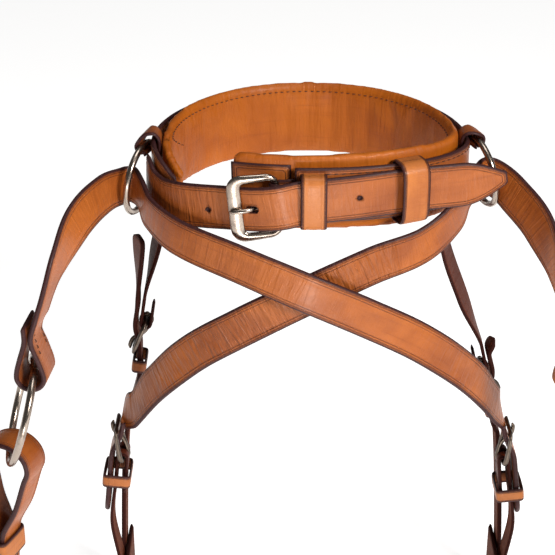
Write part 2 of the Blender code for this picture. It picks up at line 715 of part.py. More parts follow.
def rein_end(side, looks):
    """A rein's folded end: a loop over the rein ring's lowest wire, its two layers sewn and kept below."""
    top, down, near = rein_ring_spec(side)
    pivot = top + down * 2 * REIN_RING_R
    width = vec(0.38 * side, -0.925, 0.0).normalized()
    outer = vec(-0.925 * side, -0.38, 0.0).normalized()
    fall = (vec(0, 0, -1) + vec(0.1 * side, 0, 0)).normalized()
    radius, lay = 14.5, REIN_THICK / 2 + 0.35
    centre = pivot + fall * (radius - 9.5)
    keys = [(centre + outer * lay + fall * run, outer) for run in (92.0, 70.0, 50.0)]
    keys.append((centre + outer * (lay + 0.7) + fall * 43.5, outer))
    keys.append((centre + outer * (lay + 6.5) + fall * 27.0, outer))
    for k in range(9):
        turn = math.radians(-28 + 236 * k / 8)
        way = outer * math.cos(turn) - fall * math.sin(turn)
        keys.append((centre + way * radius, way))
    keys.append((centre - outer * (lay + 6.5) + fall * 27.0, -outer))
    keys.append((centre - outer * (lay + 0.7) + fall * 43.5, -outer))
    keys += [(centre - outer * lay + fall * run, -outer) for run in (50.0, 62.0, 74.0)]
    side_name = "left" if side < 0 else "right"
    mesh = mesh_of("rein_end", ribbon(smooth(keys, 6.0), REIN_WIDTH, REIN_THICK), pivot)
    add_object("rein_end_" + side_name, mesh, looks["russet"], pivot)
    size = (REIN_WIDTH + 1.2, 2 * REIN_THICK + 2.0)
    place = centre + fall * 56.0
    keeper("rein_keeper_" + side_name, place, width, fall, outer, size, 14.0, looks["keeper"], pivot)


# ---------------------------------------------------------------- build

looks = {}


def main():
    start_scene()
    looks["russet"] = material("russet_leather", (0.45, 0.20, 0.08), 0.45)
    looks["lining"] = material("lining_leather", (0.62, 0.28, 0.05), 0.55)
    looks["chocolate"] = material("dark_leather", (0.10, 0.03, 0.025), 0.45)
    looks["keeper"] = material("tan_leather", (0.55, 0.28, 0.11), 0.5)
    looks["nickel"] = material("nickel", (0.75, 0.73, 0.70), 0.2, 1.0)
    noseband(looks)
    chin_closure(looks)
    cheek_keepers(looks)
    for side in (-1, 1):
        centre, near, top = side_ring_spec(side)
        name = "side_ring_left" if side < 0 else "side_ring_right"
        ring(name, centre, (0, 0, -1), near, SIDE_RING_R, SIDE_WIRE_R, looks["nickel"], top)
        tab = "ring_tab_left" if side < 0 else "ring_tab_right"
        strap(tab, ring_tab_keys(side), TAB_WIDTH, CHAPE_THICK, looks["russet"], step=30.0)
        top, down, near = rein_ring_spec(side)
        name = "rein_ring_left" if side < 0 else "rein_ring_right"
        ring(name, top + down * REIN_RING_R, down, near, REIN_RING_R, REIN_WIRE_R, looks["nickel"], top)
        cheek_strap(side, looks)
        cheek_billet(side, looks)
        crown_strap(side, looks)
        headpiece_end(side, looks)
        rein_end(side, looks)
        buckle(cheek_buckle_spec(side), looks)
        buckle(cross_buckle_spec(side), looks)
    cross_strap("cross_strap_over", -1, OVER_ROUTE, looks)
    cross_strap("cross_strap_under", 1, UNDER_ROUTE, looks)


main()
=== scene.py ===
"""Looks for the lower half of a cross-under bitless bridle: leather straps with burnished edges,
creases and stitching, a padded noseband, nickel rings and buckles.

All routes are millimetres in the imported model's frame: the origin is the centre of the nose opening,
-Y is the chin side and +Z points to the muzzle.
"""

import math

import bmesh
import bpy
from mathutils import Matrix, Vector


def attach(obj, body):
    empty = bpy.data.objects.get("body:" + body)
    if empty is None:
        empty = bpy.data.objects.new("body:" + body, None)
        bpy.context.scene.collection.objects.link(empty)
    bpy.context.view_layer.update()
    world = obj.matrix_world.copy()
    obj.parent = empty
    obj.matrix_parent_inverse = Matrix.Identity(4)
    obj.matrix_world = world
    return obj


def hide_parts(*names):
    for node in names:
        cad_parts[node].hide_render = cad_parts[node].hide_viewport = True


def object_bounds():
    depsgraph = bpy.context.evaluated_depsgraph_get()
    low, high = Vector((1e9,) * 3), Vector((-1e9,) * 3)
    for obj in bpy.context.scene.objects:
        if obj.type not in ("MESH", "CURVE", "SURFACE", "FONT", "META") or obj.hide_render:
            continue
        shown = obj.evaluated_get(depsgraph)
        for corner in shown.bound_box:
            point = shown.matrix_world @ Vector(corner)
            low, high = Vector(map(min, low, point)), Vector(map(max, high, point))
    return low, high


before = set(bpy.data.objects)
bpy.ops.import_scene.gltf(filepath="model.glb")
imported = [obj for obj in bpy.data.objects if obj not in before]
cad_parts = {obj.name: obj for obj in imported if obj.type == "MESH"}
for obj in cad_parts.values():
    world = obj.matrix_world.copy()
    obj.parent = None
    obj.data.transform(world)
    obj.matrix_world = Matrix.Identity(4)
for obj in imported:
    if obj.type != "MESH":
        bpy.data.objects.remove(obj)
cad_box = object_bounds()

MM = 0.001
GAP = 0.4
HALF_WIDTH = 86.0
CHIN_DEPTH = 50.0
NOSE_DEPTH = 82.0
BAND_HEIGHT = 31.0
BAND_THICK = 2.8
PAD_HEIGHT = 44.0
PAD_THICK = 6.2
PAD_SPACE = 3.2
BAND_CENTRE_Z = 1.0
CHIN_LIFT = 3.5
BILLET_WIDTH = 25.4
CROSS_WIDTH = 22.0
CROSS_THICK = 3.0
CHEEK_WIDTH = 19.0
STRAP_THICK = 2.8
CHAPE_THICK = 2.0
REIN_WIDTH = 20.0
REIN_THICK = 3.2
KEEPER_THICK = 1.6
TAB_WIDTH = 13.0
SIDE_RING_R = 20.4
SIDE_WIRE_R = 1.9
REIN_RING_R = 29.7
REIN_WIRE_R = 2.1
BUCKLE_WIRE_R = 1.8
SMALL_WIRE_R = 1.5
TONGUE_R = 1.3
REIN_LOOP = 7.6
UP = Vector((0, 0, 1))

# Angles on the noseband's oval, in degrees: 0 is the right, 90 the nose, 180 the left, 270 the chin
BAND_START, BAND_STOP = 264.0, 212.0
PAD_START, PAD_STOP = 239.0, 209.0
LAYER_START, LAYER_STOP = 239.5, 262.5
PAD_SINK = 1.5
PAD_SWELL = 1.2
PAD_VOXEL = 0.0024
PAD_PRESSURE = 4.0
CLOTH_FRAMES = 20
RING_LEAN_LEFT, RING_LEAN_RIGHT = 0.15, 0.21


def vec(*xyz):
    return Vector(xyz)


# ---------------------------------------------------------------- node materials


class Nodes:
    """Builds a node tree with few words."""

    def __init__(self, name):
        self.material = bpy.data.materials.new(name)
        self.material.use_nodes = True
        self.tree = self.material.node_tree
        self.shader = self.tree.nodes["Principled BSDF"]

    def put(self, target, value):
        if hasattr(value, "is_output"):
            self.tree.links.new(value, target)
        else:
            target.default_value = value

    def node(self, kind, values=None, **settings):
        made = self.tree.nodes.new(kind)
        for key, value in settings.items():
            setattr(made, key, value)
        for key, value in (values or {}).items():
            self.put(made.inputs[key], value)
        return made

    def attribute(self, name):
        return self.node("ShaderNodeAttribute", attribute_name=name).outputs["Vector"]

    def split(self, vector):
        return self.node("ShaderNodeSeparateXYZ", {0: vector}).outputs

    def math(self, operation, a, b=0.0, clamp=False):
        made = self.node("ShaderNodeMath", operation=operation, use_clamp=clamp)
        self.put(made.inputs[0], a)
        self.put(made.inputs[1], b)
        return made.outputs[0]

    def ramp(self, value, low, high, to_low=0.0, to_high=1.0):
        made = self.node("ShaderNodeMapRange", interpolation_type="SMOOTHSTEP")
        keys = ("Value", "From Min", "From Max", "To Min", "To Max")
        for key, item in zip(keys, (value, low, high, to_low, to_high)):
            self.put(made.inputs[key], item)
        return made.outputs["Result"]

    def scaled(self, vector, scale):
        made = self.node("ShaderNodeVectorMath", operation="MULTIPLY")
        self.put(made.inputs[0], vector)
        made.inputs[1].default_value = scale
        return made.outputs[0]

    def noise(self, vector, scale, detail=3.0, rough=0.55, distortion=0.0):
        values = {"Vector": vector, "Scale": scale, "Detail": detail}
        values.update({"Roughness": rough, "Distortion": distortion})
        return self.node("ShaderNodeTexNoise", values).outputs["Fac"]

    def mix(self, factor, a, b, kind="MIX"):
        made = self.node("ShaderNodeMix", data_type="RGBA", blend_type=kind)
        for index, item in ((0, factor), (6, a), (7, b)):
            self.put(made.inputs[index], item)
        return made.outputs[2]

    def bump(self, height, strength, distance, normal=None):
        values = {"Height": height, "Strength": strength, "Distance": distance}
        if normal is not None:
            values["Normal"] = normal
        return self.node("ShaderNodeBump", values).outputs["Normal"]


def srgb(r, g, b):
    """Linear colour from 0-255 screen values."""
    def line(c):
        c /= 255
        return c / 12.92 if c <= 0.04045 else ((c + 0.055) / 1.055) ** 2.4
    return (line(r), line(g), line(b), 1.0)


def leather(name, main, deep, edge, flesh, creases=(), gloss=0.36, mottle=0.6, coat=0.10, shine=0.32):
    """Strap leather. The lay attribute holds across, along and seed, in mm.

    The mark attribute holds the distance from the rim in mm, the share of back side, and the wrinkle.
    """
    n = Nodes(name)
    lay = n.attribute("lay")
    rim, back, wrinkle = n.split(n.attribute("mark"))
    broad = n.noise(n.scaled(lay, (0.030, 0.022, 1.0)), 1.0, 4.0, 0.6, 0.4)
    streak = n.noise(n.scaled(lay, (0.42, 0.022, 1.0)), 1.0, 3.0, 0.6)
    fine = n.noise(n.scaled(lay, (1.3, 1.3, 1.0)), 1.0, 4.0, 0.65)
    colour = n.mix(n.ramp(broad, 0.30, 0.70, 0.0, mottle), main, deep)
    colour = n.mix(n.ramp(streak, 0.52, 0.76, 0.0, 0.35), colour, deep)
    colour = n.mix(n.ramp(fine, 0.55, 0.80, 0.0, 0.28), colour, deep)
    colour = n.mix(n.ramp(fine, 0.42, 0.22, 0.0, 0.22), colour, [min(c * 1.45, 1) for c in main[:3]] + [1])
    worn = n.math("ADD", rim, n.ramp(fine, 0.2, 0.8, -0.28, 0.28))
    creased = 0.0
    for place in creases:
        gap = n.math("ABSOLUTE", n.math("SUBTRACT", rim, place))
        creased = n.math("MAXIMUM", n.ramp(gap, 0.40, 0.08), creased)
    if creases:
        creased = n.math("MULTIPLY", creased, n.ramp(streak, 0.30, 0.55, 0.45, 1.0))
        colour = n.mix(n.math("MULTIPLY", creased, 0.55), colour, edge)
    suede = n.mix(n.ramp(n.noise(n.scaled(lay, (2.2, 0.5, 1.0)), 1.0, 5.0, 0.7), 0.3, 0.7), flesh, deep)
    colour = n.mix(n.math("MULTIPLY", back, 0.85), colour, suede)
    colour = n.mix(n.ramp(worn, 1.95, 0.70), colour, edge)
    n.put(n.shader.inputs["Base Color"], colour)
    surface = n.ramp(fine, 0.25, 0.75, gloss - 0.05, gloss + 0.14)
    rougher = n.math("ADD", n.math("MULTIPLY", back, 0.25), n.ramp(worn, 1.95, 0.70, 0.0, 0.22))
    n.put(n.shader.inputs["Roughness"], n.math("ADD", surface, rougher))
    n.shader.inputs["Coat Weight"].default_value = coat
    n.shader.inputs["Coat Roughness"].default_value = 0.22
    n.shader.inputs["Specular IOR Level"].default_value = shine
    spread = {"Vector": n.scaled(lay, (1.15, 1.0, 1.0)), "Scale": 1.0}
    pores = n.node("ShaderNodeTexVoronoi", spread, feature="SMOOTH_F1")
    grain = n.bump(n.math("ADD", pores.outputs["Distance"], fine), 0.22, 0.00035)
    ridge = n.noise(n.scaled(lay, (0.05, 0.42, 1.0)), 1.0, 2.0, 0.5, 0.5)
    folds = n.bump(n.math("MULTIPLY", ridge, wrinkle), 1.0, 0.0028, grain)
    normal = n.bump(n.math("MULTIPLY", creased, -1.0), 0.8, 0.0005, folds) if creases else folds
    n.put(n.shader.inputs["Normal"], normal)
    return n.material


def metal(name, colour, dark, rough=0.16):
    """Polished nickel with cloudy tarnish and fine scratches."""
    n = Nodes(name)
    place = n.node("ShaderNodeTexCoord").outputs["Object"]
    cloud = n.noise(place, 160.0, 4.0, 0.6)
    scratch = n.noise(n.scaled(place, (2600.0, 500.0, 900.0)), 1.0, 2.0, 0.5)
    shade = n.mix(n.ramp(cloud, 0.48, 0.74, 0.0, 0.55), colour, dark)
    shade = n.mix(n.ramp(scratch, 0.62, 0.76, 0.0, 0.30), shade, dark)
    n.put(n.shader.inputs["Base Color"], shade)
    n.shader.inputs["Metallic"].default_value = 1.0
    n.put(n.shader.inputs["Roughness"], n.ramp(cloud, 0.3, 0.8, rough, rough + 0.20))
    dents = n.bump(n.noise(place, 420.0, 3.0, 0.5), 0.10, 0.0006)
    n.put(n.shader.inputs["Normal"], n.bump(scratch, 0.06, 0.0002, dents))
    return n.material


def thread(name, colour, dark):
    n = Nodes(name)
    place = n.node("ShaderNodeTexCoord").outputs["Object"]
    twist = n.noise(n.scaled(place, (3000.0, 3000.0, 3000.0)), 1.0, 3.0)
    n.put(n.shader.inputs["Base Color"], n.mix(n.ramp(twist, 0.35, 0.65), colour, dark))
    n.shader.inputs["Roughness"].default_value = 0.7
    n.put(n.shader.inputs["Normal"], n.bump(twist, 0.4, 0.0003))
    return n.material


PLUM = srgb(54, 20, 20)
LOOKS = {
    "russet": leather(
        "russet_strap_leather", srgb(170, 92, 35), srgb(112, 48, 15), PLUM, srgb(146, 80, 34), (1.9, 3.2),
    ),
    "cheek": leather(
        "dark_strap_leather", srgb(104, 44, 20), srgb(58, 20, 10), srgb(50, 16, 9), srgb(120, 60, 30),
        (1.8,), gloss=0.50, mottle=0.6, coat=0.0, shine=0.16,
    ),
    "keeper": leather(
        "tan_keeper_leather", srgb(184, 108, 48), srgb(132, 64, 26), srgb(56, 20, 16), srgb(158, 92, 44),
        (1.5,), gloss=0.40,
    ),
    "lining": leather(
        "ochre_lining_leather", srgb(180, 94, 8), srgb(138, 60, 5), srgb(104, 44, 6), srgb(160, 82, 10),
        gloss=0.50, mottle=0.5, coat=0.05,
    ),
    "nickel": metal("polished_nickel", srgb(168, 154, 142), srgb(92, 78, 68)),
    # Darker, rougher copy of the nickel for the side buckles: its darker colour is painted shade and painted
    # dark reflection, not tarnish
    "shaded_nickel": metal("nickel_painted_shade", srgb(104, 92, 82), srgb(50, 42, 38), 0.28),
    "thread": thread("waxed_thread", srgb(84, 40, 22), srgb(46, 20, 12)),
}


# ---------------------------------------------------------------- pieces


def finish_piece(obj, look, nodes=(), body="bridle"):
    obj.data.materials.clear()
    obj.data.materials.append(LOOKS[look])
    if obj.name not in bpy.context.scene.collection.objects:
        bpy.context.scene.collection.objects.link(obj)
    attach(obj, body)
    if nodes:
        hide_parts(*nodes)
    return obj


def mesh_from(bm, name):
    mesh = bpy.data.meshes.new(name)
    bmesh.ops.scale(bm, verts=bm.verts, vec=(MM, MM, MM))
    bm.to_mesh(mesh)
    bm.free()
    mesh.shade_smooth()
    return mesh


def smooth(keys, step):
    """Points about every step mm on a curve through the keys, which are (place, face) pairs."""
    places = [Vector(place) for place, _ in keys]
    faces = [Vector(face).normalized() for _, face in keys]
    ends = len(keys) - 1
    made = []
    for i in range(ends):
        p0, p1, p2, p3 = (places[min(max(i + k, 0), ends)] for k in (-1, 0, 1, 2))
        span = (p2 - p1).length
        slope1 = (p2 - p0) * span / max((p2 - p1).length + (p1 - p0).length, 1e-6)
        slope2 = (p3 - p1) * span / max((p3 - p2).length + (p2 - p1).length, 1e-6)
        count = max(1, round(span / step))
        for k in range(count + (i == ends - 1)):
            t = k / count
            place = (
                p1 * (2 * t**3 - 3 * t**2 + 1)
                + slope1 * (t**3 - 2 * t**2 + t)
                + p2 * (3 * t**2 - 2 * t**3)
                + slope2 * (t**3 - t**2)
            )
            eased = t * t * (3 - 2 * t)
            made.append((place, faces[i].lerp(faces[i + 1], eased).normalized()))
    return made


def framed(route, closed=False):
    made = []
    last = len(route) - 1
    for i, (place, face) in enumerate(route):
        before = route[i - 1 if i or closed else 0][0]
        after = route[(i + 1) % len(route) if closed else min(i + 1, last)][0]
        tangent = (after - before).normalized()
        face = (face - tangent * face.dot(tangent)).normalized()
        made.append((place, tangent, face, tangent.cross(face)))
    return made


def end_factor(distance, length, kind):
    if kind == "square" or distance >= length:
        return 1.0
    share = max(distance / length, 0.0)
    if kind == "corner":
        radius, half_width = 5.0, 21.0
        drop = radius - math.sqrt(radius**2 - max(radius - distance, 0.0) ** 2)
        return 1.0 - drop / half_width
    if kind == "taper":
        return 0.42 + 0.58 * math.sin(share * math.pi / 2)
    if kind == "point":
        return 0.26 + 0.74 * math.sin(share * math.pi / 2)
    return max(math.sqrt(1 - (1 - share) ** 2), 0.2)


SEEDS = [0.0]


def profile(width, thick, grooves=()):
    """Half-round edged strap section, anticlockwise: (across, height, rim mm, back share)."""
    edge = min(thick * 0.5, 1.1)
    inner = [0.55, 1.1, 1.9, 2.5, 3.2, 4.6]
    stations = [d for d in inner if d < width / 2 - 0.6]
    steps = max(1, round((width / 2 - stations[-1]) / 2.2))
    stations += [stations[-1] + (width / 2 - stations[-1]) * k / steps for k in range(1, steps + 1)]
    front = []
    for d in stations:
        drop = edge * max(0.0, 1 - d / 1.6) ** 2 * 0.75
        drop += sum(0.22 * math.exp(-(((d - g) / 0.35) ** 2)) for g in grooves)
        front.append((d, thick / 2 - drop))
    top = [(-width / 2 + d, h, d, 0.0) for d, h in front]
    top += [(width / 2 - d, h, d, 0.0) for d, h in reversed(front[:-1])]
    side = [(width / 2, thick * 0.16, 0.0, 0.0), (width / 2, -thick * 0.16, 0.0, 0.3)]
    low = [(width / 2 - d, -h, d, 1.0) for d, h in front]
    low += [(-width / 2 + d, -h, d, 1.0) for d, h in reversed(front[:-1])]
    other = [(-width / 2, -thick * 0.16, 0.0, 0.3), (-width / 2, thick * 0.16, 0.0, 0.0)]
    return top + side + low + other


def ribbon(name, keys, width, thick, step=1.6, ends=("square", "square"), tip=12.0, closed=False,
           grooves=(1.9, 3.2), wrinkle=None, sway=None, round_off=0.8):
    """A strap swept along a route, with its lay and mark attributes."""
    route = keys if closed else smooth(keys, step)
    rows = framed(route, closed)
    count = len(rows)
    total = sum((rows[i + 1][0] - rows[i][0]).length for i in range(count - 1))
    section = profile(width, thick, grooves)
    SEEDS[0] += 7.3
    bm = bmesh.new()
    lay = bm.verts.layers.float_vector.new("lay")
    mark = bm.verts.layers.float_vector.new("mark")
    rings, run = [], 0.0
    for i, (place, _, face, side) in enumerate(rows):
        if i:
            run += (place - rows[i - 1][0]).length
        share = 1.0
        if not closed:
            share = end_factor(run, tip, ends[0]) * end_factor(total - run, tip, ends[1])
        from_end = 9.0 if closed else min(run, total - run)
        thin = 1.0 if from_end >= round_off else 0.55 + 0.45 * math.sqrt(max(from_end, 0) / round_off)
        lift = sway(run) if sway else (0.0, 0.0)
        ring = []
        for u, v, rim, back in section:
            vert = bm.verts.new(place + side * (u * share + lift[0]) + face * (v * thin + lift[1]))
            vert[lay] = (u * share, run, SEEDS[0])
            edge = min(rim * share, from_end + 0.2 if not closed else rim)
            vert[mark] = (edge, back, wrinkle(run / total, u / width) if wrinkle else 0.12)
            ring.append(vert)
        rings.append(ring)
    size = len(section)
    pairs = list(zip(rings, rings[1:])) + ([(rings[-1], rings[0])] if closed else [])
    for ring, following in pairs:
        for k in range(size):
            m = (k + 1) % size
            bm.faces.new((ring[k], ring[m], following[m], following[k]))
    if not closed:
        bm.faces.new(rings[-1])
        bm.faces.new(list(reversed(rings[0])))
    bmesh.ops.recalc_face_normals(bm, faces=bm.faces)
    return bpy.data.objects.new(name, mesh_from(bm, name))


def punch(obj, centre, axes, size):
    """Cuts a rounded oblong hole: size is its width, length and depth in mm."""
    bm = bmesh.new()
    width, length, depth = size
    ring = []
    steps = 24
    for k in range(steps):
        turn = 2 * math.pi * k / steps
        shift = (length - width) / 2 * (1 if math.sin(turn) >= 0 else -1)
        ring.append((width / 2 * math.cos(turn), width / 2 * math.sin(turn) + shift))
    levels = []
    for w in (-depth / 2, depth / 2):
        levels.append([bm.verts.new(centre + axes[0] * u + axes[1] * v + axes[2] * w) for u, v in ring])
    for k in range(steps):
        m = (k + 1) % steps
        bm.faces.new((levels[0][k], levels[0][m], levels[1][m], levels[1][k]))
    bm.faces.new(levels[1])
    bm.faces.new(list(reversed(levels[0])))
    bmesh.ops.recalc_face_normals(bm, faces=bm.faces)
    cutter = bpy.data.objects.new(obj.name + "_cutter", mesh_from(bm, "cutter"))
    bpy.context.scene.collection.objects.link(cutter)
    bpy.context.scene.collection.objects.link(obj)
    modifier = obj.modifiers.new("hole", "BOOLEAN")
    modifier.operation = "DIFFERENCE"
    modifier.solver = "EXACT"
    modifier.object = cutter
    bpy.context.view_layer.update()
    made = bpy.data.meshes.new_from_object(obj.evaluated_get(bpy.context.evaluated_depsgraph_get()))
    obj.modifiers.clear()
    obj.data = made
    bpy.data.objects.remove(cutter)
    bpy.context.scene.collection.objects.unlink(obj)
    return obj


def wire(name, points, radii, closed=False, sides=14, faces=None):
    """A round or flattened rod along points: radii is one number or one (a, b) pair per point."""
    if isinstance(radii, (int, float)):
        radii = [(radii, radii)] * len(points)
    count = len(points)
    bm = bmesh.new()
    rings = []
    normal = None
    for i in range(count):
        before = points[i - 1 if i or closed else 0]
        after = points[(i + 1) % count if closed else min(i + 1, count - 1)]
        tangent = (after - before).normalized()
        if faces:
            normal = faces[i]
        elif normal is None:
            normal = tangent.orthogonal()
        normal = (normal - tangent * normal.dot(tangent)).normalized()
        side = tangent.cross(normal)
        a, b = radii[i]
        turns = [2 * math.pi * k / sides for k in range(sides)]
        rings.append([
            bm.verts.new(points[i] + side * a * math.cos(turn) + normal * b * math.sin(turn))
            for turn in turns
        ])
    pairs = list(zip(rings, rings[1:])) + ([(rings[-1], rings[0])] if closed else [])
    for ring, following in pairs:
        shift = 0
        if closed and following is rings[0]:
            shift = min(range(sides), key=lambda s: (ring[0].co - following[s].co).length)
        for k in range(sides):
            m = (k + 1) % sides
            bm.faces.new((ring[k], ring[m], following[(m + shift) % sides], following[(k + shift) % sides]))
    if not closed:
        bm.faces.new(rings[-1])
        bm.faces.new(list(reversed(rings[0])))
    bmesh.ops.recalc_face_normals(bm, faces=bm.faces)
    return bpy.data.objects.new(name, mesh_from(bm, name))


# Along a stitch, as a share of its length: place, height off the leather in mm and share of its radius
STITCH_SHAPE = (
    (-0.5, -0.42, 0.55), (-0.3, 0.05, 1.0), (0.0, 0.16, 1.05), (0.3, 0.05, 1.0), (0.5, -0.42, 0.55),
)


def stitches(name, path, body, length=2.6, pitch=4.2, radius=0.34):
    """Thread dashes along a path of (place, outward normal) pairs, each dash sunk at its ends."""
    bm = bmesh.new()
    run, nxt = 0.0, pitch * 0.5
    for (p, n), (q, _) in zip(path, path[1:]):
        gap = (q - p).length
        way = (q - p) / max(gap, 1e-6)
        while nxt <= run + gap:
            mid = p + way * (nxt - run)
            side = way.cross(n).normalized()
            rings = []
            for along, lift, fat in STITCH_SHAPE:
                centre = mid + way * along * length + n * lift
                turns = [k * math.pi / 3 for k in range(6)]
                rings.append([
                    bm.verts.new(centre + (side * math.cos(turn) + n * math.sin(turn)) * radius * fat)
                    for turn in turns
                ])
            for ring, following in zip(rings, rings[1:]):
                for k in range(6):
                    m = (k + 1) % 6
                    bm.faces.new((ring[k], ring[m], following[m], following[k]))
            bm.faces.new(rings[-1])
            bm.faces.new(list(reversed(rings[0])))
            nxt += pitch
        run += gap
    bmesh.ops.recalc_face_normals(bm, faces=bm.faces)
    return finish_piece(bpy.data.objects.new(name, mesh_from(bm, name)), "thread", (), body)


# ---------------------------------------------------------------- noseband


def loop_normal(degrees):
    turn = math.radians(degrees)
    depth = NOSE_DEPTH if math.sin(turn) > 0 else CHIN_DEPTH
    return vec(math.cos(turn) / HALF_WIDTH, math.sin(turn) / depth, 0.0).normalized()


def loop_place(degrees, outward=0.0, z=0.0):
    turn = math.radians(degrees)
    depth = NOSE_DEPTH if math.sin(turn) > 0 else CHIN_DEPTH
    return vec(HALF_WIDTH * math.cos(turn), depth * math.sin(turn), z) + loop_normal(degrees) * outward


def band_z(degrees):
    return BAND_CENTRE_Z + CHIN_LIFT * max(0.0, -math.sin(math.radians(degrees)))


def loop_keys(start, end, outward, step=4.5, rise=0.0):
    count = max(2, round(abs(end - start) / step))
    angles = [start + (end - start) * k / count for k in range(count + 1)]
    return [(loop_place(a, outward, band_z(a) + rise), loop_normal(a)) for a in angles]


def swollen(obj, cap):
    """Inflates a pad with cloth pressure and applies the result, moving no point more than cap mm."""
    scene = bpy.context.scene
    scene.collection.objects.link(obj)
    remesh = obj.modifiers.new("remesh", "REMESH")
    remesh.mode = "VOXEL"
    remesh.voxel_size = PAD_VOXEL
    bpy.context.view_layer.update()
    mesh = bpy.data.meshes.new_from_object(obj.evaluated_get(bpy.context.evaluated_depsgraph_get()))
    obj.modifiers.clear()
    obj.data = mesh
    start = [v.co.copy() for v in mesh.vertices]
    cloth = obj.modifiers.new("cloth", "CLOTH")
    settings = cloth.settings
    settings.use_pressure = True
    settings.uniform_pressure_force = PAD_PRESSURE
    settings.quality = 6
    settings.tension_stiffness = 30
    settings.compression_stiffness = 30
    settings.bending_stiffness = 2.0
    settings.effector_weights.gravity = 0.0
    cloth.point_cache.frame_start = 1
    cloth.point_cache.frame_end = CLOTH_FRAMES
    for number in range(1, CLOTH_FRAMES + 1):
        scene.frame_set(number)
    done = bpy.data.meshes.new_from_object(obj.evaluated_get(bpy.context.evaluated_depsgraph_get()))
    obj.modifiers.clear()
    for vertex, at, swelled in zip(mesh.vertices, start, done.vertices):
        move = swelled.co - at
        limit = cap * MM
        vertex.co = at + (move if move.length <= limit else move.normalized() * limit)
    scene.frame_set(1)
    scene.collection.objects.unlink(obj)
    return obj


def mark_pad(obj):
    """Gives the pad's surface its lay and mark attributes: along the oval, and how near the rim."""
    mesh = obj.data
    lay = mesh.attributes.new("lay", "FLOAT_VECTOR", "POINT")
    mark = mesh.attributes.new("mark", "FLOAT_VECTOR", "POINT")
    for vertex in mesh.vertices:
        p = vertex.co / MM
        depth = NOSE_DEPTH if p.y > 0 else CHIN_DEPTH
        turn = math.atan2(p.y / depth, p.x / HALF_WIDTH)
        lay.data[vertex.index].vector = (p.z, turn * 75.0, 3.0)
        mark.data[vertex.index].vector = (9.0, 0.0, 0.22)


def pad_drop(place):
    """How far the padding sinks towards its end on the billet's side, below the billet's top edge."""
    if place.x > 0 or place.y > 0:
        return 0.0
    turn = math.degrees(math.atan2(place.y / CHIN_DEPTH, -place.x / HALF_WIDTH))
    return 8.0 * min(1.0, max(0.0, -turn / 29.0)) ** 1.5 if turn > -40 else 0.0


def noseband():
    keys = loop_keys(BAND_START - 360.0, BAND_STOP, BAND_THICK / 2)
    keys = [(place - vec(0, 0, 0.6 * pad_drop(place)), face) for place, face in keys]
    ends = ("square", "taper")
    band = ribbon("noseband_outer", keys, BAND_HEIGHT, BAND_THICK, 2.4, ends, 40.0, grooves=(1.9, 4.2))
    finish_piece(band, "russet", ["noseband_leather"])
    keys = loop_keys(LAYER_START, LAYER_STOP, -2.4)
    layer = ribbon("noseband_inner_layer", keys, BAND_HEIGHT, 0.6, 2.4, grooves=())
    finish_piece(layer, "russet")
    keys = loop_keys(PAD_START - 360.0, PAD_STOP, -PAD_SPACE - PAD_THICK / 2)
    keys = [(place - vec(0, 0, pad_drop(place) + PAD_SINK), face) for place, face in keys]
    ends = ("corner", "taper")
    size = (PAD_HEIGHT + 0.4, PAD_THICK - 1.2)
    pad = ribbon("noseband_pad", keys, *size, 2.4, ends, 62.0, grooves=(), round_off=2.5)
    swollen(pad, PAD_SWELL)
    mark_pad(pad)
    finish_piece(pad, "lining", ["noseband_padding"])
    subdivide = pad.modifiers.new("finer", "SUBSURF")
    subdivide.levels = subdivide.render_levels = 1
    pad.data.shade_smooth()
    for label, height in (("top", BAND_HEIGHT / 2 - 3.0), ("bottom", 3.0 - BAND_HEIGHT / 2)):
        path = smooth(loop_keys(266.0 - 360.0, 200.0, BAND_THICK, rise=height), 2.0)
        stitches("noseband_stitches_" + label, path, "bridle")
    face = -PAD_SPACE - PAD_THICK - 0.1
    path = smooth(loop_keys(242.0 - 360.0, 208.0, face, rise=PAD_HEIGHT / 2 - 6.0), 2.0)
    stitches("lining_stitches", [(p, -n) for p, n in path], "bridle", 1.8, 3.6, 0.26)


# Angle on the oval, height off the band's inner face, height along Z
BILLET_ROUTE = (
    (184.0, 4.9, -1.5), (190.0, 4.9, -4.0), (196.0, 4.7, -7.5), (206.0, 4.7, -9.5), (217.0, 4.6, -8.5),
    (228.0, 4.0, -6.8), (239.0, 4.2, -5.0), (247.0, 6.2, -3.6), (254.5, 8.6, -1.6), (260.0, 9.0, 0.0),
    (267.5, 6.6, 2.2), (276.0, 4.9, 2.8), (288.0, 4.8, 4.0), (300.0, 4.8, 4.6),
)
BILLET_TIP = ((62.0, -43.5, 5.0), (84.0, -39.5, 5.6), (105.5, -36.6, 8.6))


def billet_keys():
    keys = [(loop_place(a, out, z), loop_normal(a)) for a, out, z in BILLET_ROUTE]
    return keys + [(vec(*place), vec(0.12, -1.0, 0.0)) for place in BILLET_TIP]


# ---------------------------------------------------------------- buckles


class Buckle:
    """Where a buckle sits: hinge bar's middle, the bar's direction, the way to the rest bar, outward."""

    def __init__(self, name, hinge, across, along, width, length, wire, rest_lift, hole, corner=2.2):
        self.name = name
        self.hinge = Vector(hinge)
        self.along = Vector(along).normalized()
        self.across = Vector(across) - self.along * Vector(across).dot(self.along)
        self.across.normalize()
        self.out = self.across.cross(self.along).normalized()
        self.width = width
        self.length = length
        self.wire = wire
        self.rest_lift = rest_lift
        self.corner = corner
        self.hole = hole

    def at(self, u, v, w):
        return self.hinge + self.across * u + self.along * v + self.out * w

    def lift(self, along):
        return self.rest_lift * (max(along, 0.0) / self.length) ** 0.8

    def over(self, thick):
        return self.wire + 0.4 + 2 * TONGUE_R + 0.5 + thick / 2

    def under(self, thick):
        return self.rest_lift - self.wire - 0.5 - thick / 2


